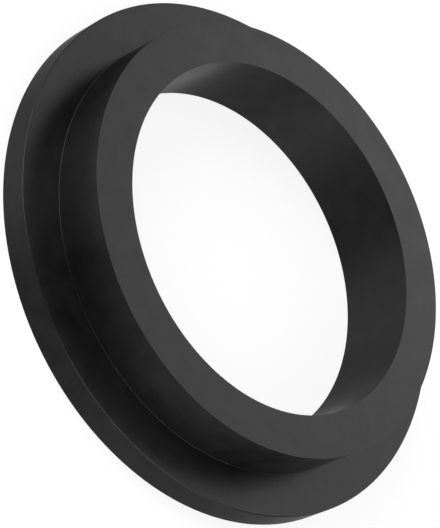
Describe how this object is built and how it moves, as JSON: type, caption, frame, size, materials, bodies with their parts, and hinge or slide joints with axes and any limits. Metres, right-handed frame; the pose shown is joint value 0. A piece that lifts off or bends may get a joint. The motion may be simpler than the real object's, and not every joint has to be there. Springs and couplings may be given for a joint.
{
  "type": "flanged seal ring",
  "caption": "Black rubber L-section seal ring: straight bore, short barrel and wide flat flange, for sealing the joint between two pipe or hose ends.",
  "frame": {"origin": "centre of the flange's flat back face, on the bore's axis, where the ring rests", "axes": "+Z along the bore from the flange's back towards the nose of the barrel; the ring is round, so X and Y are any two directions across it"},
  "size_m": [0.056, 0.056, 0.009],
  "materials": {
    "black_rubber": "smooth moulded black rubber with a soft satin sheen"
  },
  "bodies": {
    "root": {"seal_ring": "black_rubber"}
  },
  "joints": []
}
